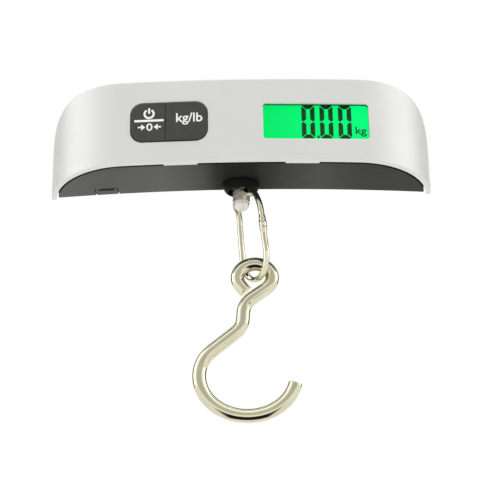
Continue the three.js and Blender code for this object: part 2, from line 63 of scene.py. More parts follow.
camera_data = bpy.data.cameras.new("camera")
camera_data.lens = CAMERA_LENS
camera_data.sensor_width = SENSOR
camera = bpy.data.objects.new("camera", camera_data)
bpy.context.scene.collection.objects.link(camera)
camera.location = CAMERA_PLACE
aim = Euler((math.pi / 2 + CAMERA_ELEVATION, 0, -CAMERA_AZIMUTH)).to_matrix().to_4x4()
camera.matrix_world = Matrix.Translation(CAMERA_PLACE) @ aim @ Matrix.Rotation(CAMERA_ROLL, 4, "Z")
bpy.context.scene.camera = camera
bpy.context.scene.view_settings.view_transform = "Standard"

# ---------------------------------------------------------------- dimensions

ARCH_RADIUS = 1004
FLAT_HALF = 38.7
END_ANGLE = math.radians(81.5)
CASE_HALF = 65
DEPTH = 26.5
HEIGHT = 29.5
BACK_HEIGHT = 8
COVER = 1.7
HOUSING_OFFSET = 2.0
HOUSING_INSET = 0.3
WALL = 1.6
END_A = (CASE_HALF - FLAT_HALF) / math.sin(END_ANGLE)
END_B = DEPTH / (1 - math.cos(END_ANGLE))

LOAD_Y = 20.5

# Openings in the cover: left, right, low, high and corner radius.
KEY_FIELD = (-35.9, -10.6, 7.4, 21.5, 4.1)
WINDOW = (7.6, 42.2, 7.8, 20.4, 1.0)

KEY_SPLIT = -24.4
CASE_POSTS = (-30.5, 30.5, 54)
POST_Z = 4.2
BAY_X = -45.5


def arch(x):
    return x * x / (2 * ARCH_RADIUS)


def plan_point(y_share, offset, side):
    """A point of the curved end in plan, at a share of the way from the front to the back."""
    y = DEPTH * math.sin(math.pi / 2 * y_share) ** 2
    turn = math.acos(1 - y / END_B)
    nx, ny = math.sin(turn) / END_A, -math.cos(turn) / END_B
    size = math.hypot(nx, ny)
    nx, ny = nx / size, ny / size
    x = FLAT_HALF + END_A * math.sin(turn)
    return Vector((side * (x - offset * nx), y - offset * ny)), Vector((side * nx, ny))


def top_height(y, inset=0.0):
    reach = DEPTH - inset
    return BACK_HEIGHT + (HEIGHT - BACK_HEIGHT - inset) * math.sqrt(max(0, 1 - (y / reach) ** 2))


# ---------------------------------------------------------------- mesh helpers


def mesh_object(name, points, faces):
    mesh = bpy.data.meshes.new(name)
    mesh.from_pydata([row(p) for p in points], [], faces)
    mesh.validate()
    mesh.update()
    made = bpy.data.objects.new(name, mesh)
    bpy.context.scene.collection.objects.link(made)
    return made


def loft(name, rings, closed_path=False):
    """Skins a list of closed rings that all have the same number of points."""
    count = len(rings[0])
    points = [p for ring in rings for p in ring]
    faces = []
    spans = len(rings) if closed_path else len(rings) - 1
    for i in range(spans):
        a = i * count
        b = (i + 1) % len(rings) * count
        for j in range(count):
            k = (j + 1) % count
            faces.append((a + j, a + k, b + k, b + j))
    if not closed_path:
        faces.append(tuple(reversed(range(count))))
        last = (len(rings) - 1) * count
        faces.append(tuple(last + j for j in range(count)))
    made = mesh_object(name, points, faces)
    outward(made)
    return made


def outward(obj):
    bm = bmesh.new()
    bm.from_mesh(obj.data)
    bmesh.ops.recalc_face_normals(bm, faces=bm.faces)
    bm.to_mesh(obj.data)
    bm.free()


def lathe(name, profile, x, y, steps=96):
    """Turns a profile of (radius, z) points about an upright axis; its ends sit on the axis."""
    rings = []
    for i in range(steps):
        t = 2 * math.pi * i / steps
        rings.append([(x + r * math.cos(t), y + r * math.sin(t), z) for r, z in profile])
    made = loft(name, rings, closed_path=True)
    weld(made)
    return made


def weld(obj, distance=1e-6):
    bm = bmesh.new()
    bm.from_mesh(obj.data)
    bmesh.ops.remove_doubles(bm, verts=bm.verts, dist=distance)
    bmesh.ops.dissolve_degenerate(bm, edges=bm.edges, dist=distance)
    bmesh.ops.recalc_face_normals(bm, faces=bm.faces)
    bm.to_mesh(obj.data)
    bm.free()


def fillet(corner, before, after, radius, steps=4):
    """Points of an arc that rounds a profile's corner."""
    c, a, b = Vector(corner), Vector(before), Vector(after)
    u, v = (a - c).normalized(), (b - c).normalized()
    half = u.angle(v) / 2
    reach = radius / math.tan(half)
    centre = c + (u + v).normalized() * radius / math.sin(half)
    start, end = c + u * reach - centre, c + v * reach - centre
    total = start.angle(end)
    arc = []
    for i in range(steps + 1):
        k = i / steps
        mix = start * math.sin((1 - k) * total) + end * math.sin(k * total)
        arc.append(tuple(centre + mix / math.sin(total)))
    return arc


def rounded(profile, radii, closed=False, steps=4):
    """A profile whose corners are rounded by the radii, one for each point; 0 leaves a corner."""
    out = []
    count = len(profile)
    for i, (point, radius) in enumerate(zip(profile, radii)):
        if radius == 0 or (not closed and i in (0, count - 1)):
            out.append(tuple(point))
        else:
            out += fillet(point, profile[i - 1], profile[(i + 1) % count], radius, steps)
    return out


def rounded_rect(x0, x1, z0, z1, radius, steps=8):
    corners = [(x0, z0), (x1, z0), (x1, z1), (x0, z1)]
    radii = radius if isinstance(radius, (list, tuple)) else [radius] * 4
    return rounded(corners, radii, closed=True, steps=steps)


def combine(base, operation, *others):
    """Applies a boolean of the other solids to base, and removes them."""
    for other in others:
        modifier = base.modifiers.new("cut", "BOOLEAN")
        modifier.operation = operation
        modifier.solver = "MANIFOLD"
        modifier.object = other
        bpy.context.view_layer.update()
        graph = bpy.context.evaluated_depsgraph_get()
        mesh = bpy.data.meshes.new_from_object(base.evaluated_get(graph))
        base.modifiers.clear()
        base.data = mesh
        bpy.data.objects.remove(other)
    return base


def block(name, x0, x1, y0, y1, z0, z1, radius=0.0, steps=3):
    """A box along y with its upright section's corners rounded."""
    section = rounded_rect(x0, x1, z0, z1, radius, steps) if radius else [
        (x0, z0), (x1, z0), (x1, z1), (x0, z1)]
    return loft(name, [[(x, y, z) for x, z in section] for y in (y0, y1)])


def arched(obj):
    """Lowers a piece with the case's arch."""
    for v in obj.data.vertices:
        v.co.z -= arch(v.co.x / MM) * MM
    return obj


def finish_piece(obj, body, material, replaces=(), crease=32):
    """Smooth shading with clean flats, then the piece's material and body."""
    mesh = obj.data
    mesh.shade_smooth()
    mesh.set_sharp_from_angle(angle=math.radians(crease))
    weighted = obj.modifiers.new("normals", "WEIGHTED_NORMAL")
    weighted.keep_sharp = True
    weighted.weight = 60
    mesh.materials.clear()
    mesh.materials.append(material)
    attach(obj, body)
    if replaces:
        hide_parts(*replaces)
    return obj


# ---------------------------------------------------------------- materials


class Nodes:
    """Short names for building a node tree."""

    def __init__(self, tree):
        self.tree = tree

    def add(self, kind, **values):
        node = self.tree.nodes.new(kind)
        for key, value in values.items():
            setattr(node, key, value)
        return node

    def link(self, source, target):
        self.tree.links.new(source, target)

    def ramp(self, source, stops):
        node = self.add("ShaderNodeValToRGB")
        ramp = node.color_ramp
        while len(ramp.elements) < len(stops):
            ramp.elements.new(0.5)
        for element, (place, value) in zip(ramp.elements, stops):
            element.position = place
            tone = value if isinstance(value, (tuple, list)) else (value,) * 3
            element.color = (*tone, 1)
        self.link(source, node.inputs["Fac"])
        return node.outputs["Color"]

    def spread(self, source, low, high):
        node = self.add("ShaderNodeMapRange")
        node.inputs["To Min"].default_value = low
        node.inputs["To Max"].default_value = high
        self.link(source, node.inputs["Value"])
        return node.outputs["Result"]

    def math(self, operation, *values):
        node = self.add("ShaderNodeMath", operation=operation)
        for socket, value in zip(node.inputs, values):
            if isinstance(value, (int, float)):
                socket.default_value = value
            else:
                self.link(value, socket)
        return node.outputs["Value"]

    def axes(self, vector):
        node = self.add("ShaderNodeSeparateXYZ")
        self.link(vector, node.inputs["Vector"])
        return node.outputs

    def share(self, source, low, high, smooth=False):
        """0 below low, 1 above high; low may be the larger one."""
        node = self.add("ShaderNodeMapRange")
        if smooth:
            node.interpolation_type = "SMOOTHSTEP"
        node.inputs["From Min"].default_value = low
        node.inputs["From Max"].default_value = high
        self.link(source, node.inputs["Value"])
        return node.outputs["Result"]

    def tinted(self, color, tone, amount):
        """Blends a tone over a colour by an amount from 0 to 1."""
        node = self.add("ShaderNodeMix", data_type="RGBA")
        factor, _, _, _, _, _, under, over, *_ = node.inputs
        self.link(amount, factor)
        self.link(color, under)
        over.default_value = (*tone, 1)
        return next(socket for socket in node.outputs if socket.type == "RGBA")


class Look(Nodes):
    """A material's nodes, placed by object coordinates."""

    def __init__(self, name):
        self.material = bpy.data.materials.new(name)
        self.material.use_nodes = True
        super().__init__(self.material.node_tree)
        self.shader = self.tree.nodes["Principled BSDF"]
        coordinates = self.add("ShaderNodeTexCoord").outputs
        self.where, self.facing = coordinates["Object"], coordinates["Normal"]

    def noise(self, size_mm, detail=4.0):
        """Noise with features of a size in millimetres."""
        texture = self.add("ShaderNodeTexNoise")
        texture.inputs["Scale"].default_value = 1 / (size_mm * MM)
        texture.inputs["Detail"].default_value = detail
        self.link(self.where, texture.inputs["Vector"])
        return texture.outputs["Fac"]

    def bump(self, height, strength, distance_mm, under=None):
        node = self.add("ShaderNodeBump")
        node.inputs["Strength"].default_value = strength
        node.inputs["Distance"].default_value = distance_mm * MM
        self.link(height, node.inputs["Height"])
        if under is not None:
            self.link(under, node.inputs["Normal"])
        return node.outputs["Normal"]

    def feed(self, source, name):
        """Links a source to one of the shader's inputs."""
        self.link(source, self.shader.inputs[name])

    def set(self, **values):
        """Gives the shader's inputs plain values; Base_Color stands for "Base Color"."""
        for key, value in values.items():
            self.shader.inputs[key.replace("_", " ")].default_value = value


def finish_look(name, tone, spread=0.06, size=6.0, rough=(0.4, 0.5), grain=0.25, grain_bump=0.15,
                **more):
    """A general finish: a tone that drifts a little, uneven gloss and a fine grain."""
    n = Look(name)
    low = tuple(c * (1 - spread) for c in tone)
    high = tuple(min(1, c * (1 + spread)) for c in tone)
    n.feed(n.ramp(n.noise(size), [(0.3, low), (0.7, high)]), "Base Color")
    n.feed(n.spread(n.noise(size / 3), *rough), "Roughness")
    n.feed(n.bump(n.noise(grain, 2), grain_bump, 0.02), "Normal")
    n.set(**more)
    return n


def surface(name, tone, **details):
    return finish_look(name, tone, **details).material


SPRAY_METALLIC = 0.22
# Painted shade in the cover's openings: the depth where it starts, and the box round the openings
# that it keeps to.
WALL_SHADE_DEPTH = 0.72
WALL_SHADE_LOW, WALL_SHADE_HIGH, WALL_SHADE_HALF = 6.5, 22.6, 43
FADE = 0.1


def silver_with_wall_shade():
    """Silver spray with painted shade: the walls of the cover's openings are near-black past a
    small depth.
    """
    n = finish_look("silver_spray", (0.75, 0.757, 0.725), spread=0.014, size=14,
                    rough=(0.42, 0.5), grain=0.12, grain_bump=0.2, Coat_Weight=0.1,
                    Coat_Roughness=0.3)
    x, y, z = n.axes(n.where)
    _, deep, low = row((0, WALL_SHADE_DEPTH, WALL_SHADE_LOW))
    high = row((0, 0, WALL_SHADE_HIGH)).z
    fade = FADE * MM
    # Painted shade: near-black and not metallic on the cover round its openings, past the depth
    # above.
    within = (
        n.share(y, deep, deep + fade),
        n.share(z, low, low + fade),
        n.share(z, high, high - fade),
        n.share(n.math("ABSOLUTE", x), WALL_SHADE_HALF * MM, WALL_SHADE_HALF * MM - fade),
    )
    wall_shade = within[0]
    for share in within[1:]:
        wall_shade = n.math("MULTIPLY", wall_shade, share)
    sprayed_tone = n.shader.inputs["Base Color"].links[0].from_socket
    n.feed(n.tinted(sprayed_tone, (0.02, 0.02, 0.018), wall_shade), "Base Color")
    n.feed(n.math("MULTIPLY", n.math("SUBTRACT", 1.0, wall_shade), SPRAY_METALLIC), "Metallic")
    return n.material


silver = silver_with_wall_shade()


def moulded_black(name, tone, ior=1.5, painted_reflection_along=None):
    """Moulded plastic with a fine texture.

    painted_reflection_along is a list of (x in millimetres, shine) for a painted reflection: a
    sheen that changes along the case, weak in the middle, in place of what the underside reflects.
    """
    n = Look(name)
    low, high = tuple(c * 0.88 for c in tone), tuple(c * 1.12 for c in tone)
    n.feed(n.ramp(n.noise(5), [(0.3, low), (0.7, high)]), "Base Color")
    n.feed(n.spread(n.noise(1.7), 0.26, 0.36), "Roughness")
    n.feed(n.bump(n.noise(0.16, 2), 0.22, 0.02), "Normal")
    n.set(Specular_Tint=(0.98, 1.0, 0.86, 1), IOR=ior)
    # Painted reflection: how strongly the plastic reflects is set by the place along the case.
    if painted_reflection_along:
        left, right = painted_reflection_along[0][0], painted_reflection_along[-1][0]
        along = n.share(n.axes(n.where)["X"], left * MM, right * MM)
        stops = [((x - left) / (right - left), shine) for x, shine in painted_reflection_along]
        n.feed(n.spread(n.ramp(along, stops), 1.0, 1.5), "IOR")
    return n.material


# Painted reflection along the black underside: the sheen by place along the case, weakest near the
# middle.
UNDERSIDE_PAINTED_REFLECTION = [(-65, 0.96), (-45, 0.72), (-26, 0.84), (-13, 0.44), (-8, 0.12), (-3, 0.04),
                   (5, 0.08), (13, 0.24), (26, 0.44), (40, 0.28), (65, 0.28)]
black = moulded_black("black_moulding", (0.022, 0.0225, 0.0195), painted_reflection_along=UNDERSIDE_PAINTED_REFLECTION)
collar_black = moulded_black("collar_moulding", (0.01, 0.01, 0.0085), ior=1.1)
rubber = surface("key_rubber", (0.042, 0.043, 0.036), spread=0.12, size=3, rough=(0.5, 0.62),
                 grain=0.22, grain_bump=0.45)
white_ink = surface("white_ink", (0.97, 0.97, 0.95), spread=0.02, size=1.5, rough=(0.45, 0.6))
white_plastic = surface("white_plastic", (0.78, 0.79, 0.75), spread=0.03, rough=(0.4, 0.5))
board_green = surface("solder_mask", (0.012, 0.1, 0.035), spread=0.2, size=2, rough=(0.25, 0.4))
zinc = surface("zinc_plate", (0.56, 0.56, 0.54), spread=0.08, size=1.5, rough=(0.28, 0.42),
               Metallic=1.0)
aluminium = surface("milled_aluminium", (0.66, 0.67, 0.68), spread=0.05, size=2,
                    rough=(0.3, 0.45), Metallic=1.0)
brass = surface("spring_brass", (0.68, 0.5, 0.22), spread=0.08, size=2, rough=(0.25, 0.38),
                Metallic=1.0)
film = surface("gauge_film", (0.42, 0.2, 0.05), spread=0.1, size=2, rough=(0.3, 0.4))


# A painted reflection: the dark line a wire reflects under it, laid where its normal's height and
# sideways lean fade it in.
LINE_TOP, LINE_BOTTOM, LINE_ENDS = (-0.3, -0.38), (-0.78, -0.7), (0.32, 0.2)
PAINTED_REFLECTION_TONE = (0.012, 0.011, 0.011)


def steel(name, tone, rough, wave, wave_strength, pits=0.0, painted_reflection_below=False):
    """Polished steel with the slow waves left by bending and drawing, and shallow pits.

    painted_reflection_below adds a painted reflection: the darker line that runs under a wire's
    horizontal stretches.
    """
    n = Look(name)
    low = tuple(c * 0.9 for c in tone)
    color = n.ramp(n.noise(6), [(0.35, low), (0.65, tone)])
    # Painted reflection: a dark tone on the faces that look down.
    if painted_reflection_below:
        across, _, up = n.axes(n.facing)
        upper = n.share(up, *LINE_TOP, smooth=True)
        lower = n.share(up, *LINE_BOTTOM, smooth=True)
        level = n.share(n.math("ABSOLUTE", across), *LINE_ENDS, smooth=True)
        color = n.tinted(color, PAINTED_REFLECTION_TONE,
                         n.math("MULTIPLY", level, n.math("MULTIPLY", upper, lower)))
    n.feed(color, "Base Color")
    n.feed(n.spread(n.noise(2.5, 3), *rough), "Roughness")
    normal = n.bump(n.noise(wave, 2), wave_strength, 0.12)
    if pits:
        normal = n.bump(n.noise(0.7, 2), pits, 0.05, under=normal)
    n.feed(normal, "Normal")
    n.set(Metallic=1.0)
    return n.material


hook_steel = steel("hook_steel", (0.79, 0.755, 0.55), (0.05, 0.12), 5.0, 0.35, painted_reflection_below=True)
link_steel = steel("link_steel", (0.82, 0.79, 0.60), (0.08, 0.16), 2.2, 0.4)
stud_steel = steel("stud_steel", (0.86, 0.82, 0.73), (0.34, 0.46), 1.8, 0.6, 0.5)


def clear_acrylic():
    n = Look("clear_lens")
    n.set(Transmission_Weight=1.0, IOR=1.12, Base_Color=(0.97, 1, 0.98, 1))
    n.feed(n.spread(n.noise(3), 0.015, 0.05), "Roughness")
    return n.material


def lit_cell():
    """The backlight is a little dimmer to the left, far from its lamps."""
    n = Look("lit_display")
    across = n.share(n.axes(n.where)["X"], 6 * MM, 44 * MM)
    mottled = n.math("MULTIPLY_ADD", n.noise(5), 0.25, across)
    n.feed(n.ramp(mottled, [(0.05, (0.0, 0.80, 0.138)), (0.95, (0.0, 0.98, 0.215))]),
           "Emission Color")
    n.set(Emission_Strength=1.0, Roughness=0.6, Specular_IOR_Level=0.05,
          Base_Color=(0.0, 0.02, 0.005, 1))
    return n.material


def dark_segment():
    """A lit segment of the display: almost black, with a little green through it."""
    n = Look("display_segment")
    n.feed(n.ramp(n.noise(1.0), [(0.3, (0.0, 0.018, 0.003)), (0.7, (0.0, 0.03, 0.005))]),
           "Base Color")
    n.feed(n.ramp(n.noise(0.8), [(0.3, (0.0, 0.012, 0.0)), (0.7, (0.0, 0.03, 0.0))]),
           "Emission Color")
    n.set(Roughness=0.7, Emission_Strength=0.6)
    return n.material


clear_lens = clear_acrylic()
lit_display = lit_cell()
segment_ink = dark_segment()

# ---------------------------------------------------------------- front cover

EDGE = 0.55
INNER_EDGE = 0.2
LEAST_HEIGHT = 2.5
LONG_SIDE = 4
SNAP_TABS = (-19.6, 20.2)
SNAP_TAB_HALF = 5.5
WINDOW_FLARE = 0.4


def cover_path():
    """Stations along the cover: plan point, outward normal, and how far the tip has closed."""
    stations = []
    end_steps, flat_steps, tip_steps = 36, 26, 5
    for side in (-1, 1):
        leg = []
        for i in range(1, end_steps + 1):
            point, normal = plan_point(i / end_steps, 0, side)
            leg.append((point, normal, 0.0))
        last, normal, _ = leg[-1]
        along = Vector((-normal.y * side, normal.x * side))
        if along.y < 0:
            along = -along
        tip = []
        for i in range(1, tip_steps + 1):
            t = math.pi / 2 * i / tip_steps
            tip.append((last - along * INNER_EDGE * 2 * (1 - math.sin(t)), normal,
                        INNER_EDGE * 2 * (1 - math.cos(t))))
        leg = leg[:-1] + tip
        stations.append(leg)
    flat = []
    for i in range(flat_steps + 1):
        x = FLAT_HALF * (2 * i / flat_steps - 1)
        flat.append((Vector((x, 0)), Vector((0, -1)), 0.0))
    return list(reversed(stations[0])) + flat + stations[1]


def cover_ring(point, normal, shrink):
    """The cover's section at a station: a tall rounded strip."""
    corners, radii = [], []
    wall_steps = 14
    for depth, edge in ((0, EDGE), (COVER, INNER_EDGE)):
        inner = depth > 0
        d = COVER - shrink if inner else shrink
        place = point - normal * d
        low = shrink
        high = max(top_height(min(place.y, DEPTH)) - shrink, low + LEAST_HEIGHT)
        ends = ((d, high), (d, low)) if inner else ((d, low), (d, high))
        corners += ends
        radii += [max(0.02, edge - shrink)] * 2
    outline = rounded(corners, radii, closed=True, steps=5)
    dense = []
    for i, (d, z) in enumerate(outline):
        dense.append((d, z))
        nd, nz = outline[(i + 1) % len(outline)]
        if abs(nz - z) > LONG_SIDE:
            for k in range(1, wall_steps):
                dense.append((d + (nd - d) * k / wall_steps, z + (nz - z) * k / wall_steps))
    ring = []
    for d, z in dense:
        place = point - normal * d
        ring.append((place.x, place.y, z - arch(place.x)))
    return ring


def opening_cutter(field, flare=0.28):
    """A prism for an opening, flared at the front so that the opening's edge is rounded."""
    x0, x1, z0, z1, radius = field
    rings = []
    stations = [(-1.0, flare)]
    steps = 5
    for i in range(steps + 1):
        t = math.pi / 2 * i / steps
        stations.append((flare * (1 - math.cos(t)), flare * (1 - math.sin(t))))
    stations.append((COVER + 1, 0.0))
    for y, grow in stations:
        section = rounded_rect(x0 - grow, x1 + grow, z0 - grow, z1 + grow, radius + grow, 10)
        rings.append([(x, y, z) for x, z in section])
    return arched(loft("opening", rings))


cover = loft("cover_shell", [cover_ring(*station) for station in cover_path()])
combine(cover, "DIFFERENCE", opening_cutter(KEY_FIELD), opening_cutter(WINDOW, WINDOW_FLARE))
for x in SNAP_TABS:
    combine(cover, "UNION", arched(block(
        "snap_tab", x - SNAP_TAB_HALF, x + SNAP_TAB_HALF, COVER - 0.2, COVER + 1.6, 0.3, 3.2)))
finish_piece(cover, "case", silver, ["front_cover"])

# ---------------------------------------------------------------- rear housing and door

SEAM_GROOVE = 1.3
BACK_EDGE = 0.7
SPLIT_Y, SPLIT_LOW, SPLIT_HIGH = 7.7, 1.9, 27
COLLAR_NECK = 3.3
POST_RADIUS, HEAD_RADIUS, SHANK_RADIUS = 2.8, 2.4, 1.2
POST_LENGTH, HEAD_DEPTH = 3.6, 1.9

# The battery door's opening, and its latch tab, which reaches round to the underside.
DOOR_LEFT, DOOR_RIGHT, DOOR_LOW, DOOR_HIGH, DOOR_CORNER = -56.6, -34.2, 2.4, 22.6, 1.6
DOOR_FRONT, PAST_BACK = 15.8, 32
TAB_LEFT, TAB_RIGHT, TAB_FRONT = BAY_X - 4.0, BAY_X + 3.6, DEPTH - 6
DOOR_GAP, HINGE_GAP = 0.12, 0.3
GROOVE_HALF, FRONT_GROOVE_HALF, GROOVE_TOP = 0.22, 0.15, 0.95
RIDGE_HALF, RIDGE_FRONT, RIDGE_BACK = 2.6, 21.5, 22.0
LEDGE_HALF = 6


def case_sections(offset, inset, edge, back_edge):
    """Plan places (x, front y) of a solid's sections, for one that stays inside the cover."""
    places = []
    end_steps, flat_steps = 40, 20
    for side in (-1, 1):
        leg = []
        for i in range(1, end_steps):
            point, _ = plan_point(i / end_steps, offset, side)
            if point.y < DEPTH - inset - edge - back_edge - 0.3:
                leg.append((point.x, point.y))
        places.append(leg)
    flat = [(FLAT_HALF * (2 * i / flat_steps - 1), offset) for i in range(flat_steps + 1)]
    return list(reversed(places[0])) + flat + places[1]


def case_solid(name, offset, inset, edge, back_edge, groove=0.0):
    """A solid under the case's curved back, rounded below, with a groove along its front edge."""
    rings = []
    back = DEPTH - inset
    curve_steps = 34
    for x, front in case_sections(offset, inset, edge, back_edge):
        top = top_height(front, inset)
        ring = fillet((front, inset), (front, top), (back, inset), edge)
        if groove:
            floor_z = inset + 1.2
            ring = [(front, floor_z), (front + groove, floor_z), (front + groove, inset + 0.15),
                    (front + groove + 0.05, inset + 0.05), (front + groove + 0.15, inset)]
        for k in range(1, 6):
            ring.append((front + edge + (back - back_edge - front - edge) * k / 6, inset))
        ring += fillet((back, inset), (front, inset), (back, BACK_HEIGHT), back_edge, 5)
        for k in range(1, 4):
            ring.append((back, inset + back_edge + (BACK_HEIGHT - inset - back_edge) * k / 4))
        limit = math.acos(min(1, front / back))
        for k in range(curve_steps + 1):
            t = limit * k / curve_steps
            z = BACK_HEIGHT + (HEIGHT - BACK_HEIGHT - inset) * math.sin(t)
            ring.append((back * math.cos(t), z))
        for k in range(1, 5):
            ring.append((front, top + (inset + edge - top) * k / 5))
        rings.append([(x, y, z - arch(x)) for y, z in ring])
    return loft(name, rings)


def plain_box(x0, x1, y0, y1, z0, z1):
    return block("box", x0, x1, y0, y1, z0, z1)


def door_region(gap=0.0, hinge_gap=0.0):
    """What the door takes up of the housing, less a gap round it and one along its hinge."""
    drop = arch(BAY_X)
    panel = block("region", DOOR_LEFT + gap, DOOR_RIGHT - gap, DOOR_FRONT, PAST_BACK,
                  DOOR_LOW - drop + gap, DOOR_HIGH - drop - hinge_gap, DOOR_CORNER, 6)
    tab = block("tab", TAB_LEFT + gap, TAB_RIGHT - gap, TAB_FRONT + gap, PAST_BACK, -5, 4)
    return combine(panel, "UNION", tab)


def upright_cylinder(x, y, radius, z0, z1, sides=64):
    turns = [2 * math.pi * i / sides for i in range(sides)]
    return loft("cylinder", [
        [(x + radius * math.cos(t), y + radius * math.sin(t), z) for t in turns] for z in (z0, z1)])


def cylinder_y(x, z, radius, y0, y1, sides=48):
    turns = [2 * math.pi * i / sides for i in range(sides)]
    return loft("cylinder", [
        [(x + radius * math.cos(t), y, z + radius * math.sin(t)) for t in turns] for y in (y0, y1)])


def housing_shell(name):
    shell = case_solid(
        name, HOUSING_OFFSET, HOUSING_INSET, SEAM_GROOVE + 0.15, BACK_EDGE, SEAM_GROOVE)
    hollow = case_solid("hollow", HOUSING_OFFSET + WALL, HOUSING_INSET + WALL, 0.1, 0.4)
    front = plain_box(-70, 70, -5, SPLIT_Y, SPLIT_LOW, SPLIT_HIGH)
    return combine(shell, "DIFFERENCE", hollow, front)


def tab_grooves():
    """Shallow channels in the underside that outline the latch tab."""
    sides = [plain_box(x - GROOVE_HALF, x + GROOVE_HALF, TAB_FRONT, 27, -1, GROOVE_TOP)
             for x in (TAB_LEFT, TAB_RIGHT)]
    front = plain_box(TAB_LEFT, TAB_RIGHT, TAB_FRONT - FRONT_GROOVE_HALF,
                      TAB_FRONT + FRONT_GROOVE_HALF, -1, GROOVE_TOP)
    return [arched(groove) for groove in (*sides, front)]


housing = housing_shell("back_shell")
latch_ledge = arched(plain_box(BAY_X - LEDGE_HALF, BAY_X + LEDGE_HALF, 19, 25.2, 1.8, 2.6))
combine(housing, "UNION", latch_ledge)
combine(housing, "DIFFERENCE", door_region())
combine(housing, "DIFFERENCE", upright_cylinder(0, LOAD_Y, COLLAR_NECK + 0.3, -3, 3))
for x in CASE_POSTS:
    z = POST_Z - arch(x)
    post = cylinder_y(x, z, POST_RADIUS, DEPTH - HOUSING_INSET - POST_LENGTH,
                      DEPTH - HOUSING_INSET - 0.05)
    combine(housing, "UNION", post)
    combine(housing, "DIFFERENCE", cylinder_y(x, z, HEAD_RADIUS, DEPTH - HEAD_DEPTH, DEPTH + 2))
    combine(housing, "DIFFERENCE", cylinder_y(x, z, SHANK_RADIUS, DEPTH - 6, DEPTH))
combine(housing, "DIFFERENCE", *tab_grooves())
finish_piece(housing, "case", black, ["rear_housing"])

door = combine(housing_shell("door_panel"), "INTERSECT", door_region(DOOR_GAP, HINGE_GAP))
tab_middle = (TAB_LEFT + TAB_RIGHT) / 2
combine(door, "UNION", arched(block(
    "ridge", tab_middle - RIDGE_HALF, tab_middle + RIDGE_HALF, RIDGE_FRONT, RIDGE_BACK, 0.02, 0.9,
    0.2)))
combine(door, "DIFFERENCE", *tab_grooves())
finish_piece(door, "door", black, ["battery_door"])

# ---------------------------------------------------------------- collar and stud

COLLAR_OUTER, COLLAR_INNER, COLLAR_BORE = 6.2, 4.5, 2.5
COLLAR_DROP, COLLAR_ROOF, COLLAR_TOP = 2.85, 0.9, 2.7
FLARE_WIDTH, FLARE_HEIGHT = 2.2, 3.2
UNDERSIDE = 0.28

rim_angle = math.asin(COLLAR_DROP / FLARE_HEIGHT)
flare_steps = 14
flare = []
for i in range(flare_steps, -1, -1):
    t = rim_angle * i / flare_steps
    flare.append((COLLAR_OUTER - FLARE_WIDTH * (1 - math.cos(t)), -FLARE_HEIGHT * math.sin(t)))
collar_profile = rounded(
    [(COLLAR_BORE, COLLAR_TOP), (COLLAR_BORE, -COLLAR_ROOF), (COLLAR_INNER, -COLLAR_ROOF),
     (COLLAR_INNER, -COLLAR_DROP), *flare, (COLLAR_OUTER, UNDERSIDE), (COLLAR_NECK, UNDERSIDE),
     (COLLAR_NECK, COLLAR_TOP)],
    [0.1, 0.2, 0.4, 0.1, 0.1, *[0] * flare_steps, 0.02, 0.1, 0.1], closed=True, steps=6)
collar = lathe("collar_ring", collar_profile, 0, LOAD_Y)
finish_piece(collar, "case", collar_black, ["guide_collar"])

STUD_RADIUS, STUD_END, STUD_DOME = 2.9, -6.95, 2.8
SHANK, SHANK_START, SHANK_TOP = 2.0, -1.2, 12.9
HOLE_Z, HOLE_RADIUS = -3.1, 1.7
LINK_TURN = math.radians(58)

dome = []
dome_steps = 14
for i in range(dome_steps + 1):
    t = math.pi / 2 * i / dome_steps
    dome.append(((STUD_RADIUS - 0.2) * math.sin(t), STUD_END - STUD_DOME * math.cos(t)))
dome[0] = (0.0, dome[0][1])
stud_profile = dome + rounded(
    [dome[-1], (STUD_RADIUS, STUD_END + 0.15), (STUD_RADIUS, SHANK_START), (SHANK, SHANK_START),
     (SHANK, SHANK_TOP), (0.0, SHANK_TOP)], [0, 0.12, 0.35, 0.1, 0.3, 0])[1:]
stud = lathe("stud_body", stud_profile, 0, LOAD_Y)


def cross_hole(radius, length=8, sides=48):
    """A cutter along the link's bar."""
    axis = Vector((math.cos(LINK_TURN), -math.sin(LINK_TURN), 0))
    side = Vector((math.sin(LINK_TURN), math.cos(LINK_TURN), 0))
    up = Vector((0, 0, 1))
    middle = Vector((0, LOAD_Y, HOLE_Z))
    rings = []
    for s in (-length, length):
        ring = []
        for i in range(sides):
            t = 2 * math.pi * i / sides
            ring.append(middle + axis * s + side * radius * math.cos(t) + up * radius * math.sin(t))
        rings.append(ring)
    return loft("cross_hole", rings)


combine(stud, "DIFFERENCE", cross_hole(HOLE_RADIUS))
finish_piece(stud, "swivel", stud_steel, ["stud"])

# ---------------------------------------------------------------- bent wires


def sweep(name, path, radius_at, sides=40, closed=False):
    """Sweeps a round section along points; radius_at(share of the way) gives its size."""
    points = [Vector(p) for p in path]
    count = len(points)
    tangents = []
    for i in range(count):
        before = points[i - 1] if i or closed else points[0]
        after = points[(i + 1) % count] if i < count - 1 or closed else points[-1]
        tangents.append((after - before).normalized())
    normal = Vector((0, 1, 0))
    normal = (normal - tangents[0] * normal.dot(tangents[0])).normalized()
    rings = []
    for i in range(count):
        normal = (normal - tangents[i] * normal.dot(tangents[i])).normalized()
        binormal = tangents[i].cross(normal)
        radius = radius_at(i / (count - 1))
        ring = []
        for j in range(sides):
            t = 2 * math.pi * j / sides
            ring.append(points[i] + (normal * math.cos(t) + binormal * math.sin(t)) * radius)
        rings.append(ring)
    return loft(name, rings, closed_path=closed)


def arc_points(cx, cz, rx, rz, start, end, step=0.35):
    length = abs(end - start) * max(rx, rz)
    count = max(2, int(length / step))
    return [(cx + rx * math.cos(start + (end - start) * i / count),
             cz + rz * math.sin(start + (end - start) * i / count)) for i in range(count + 1)]


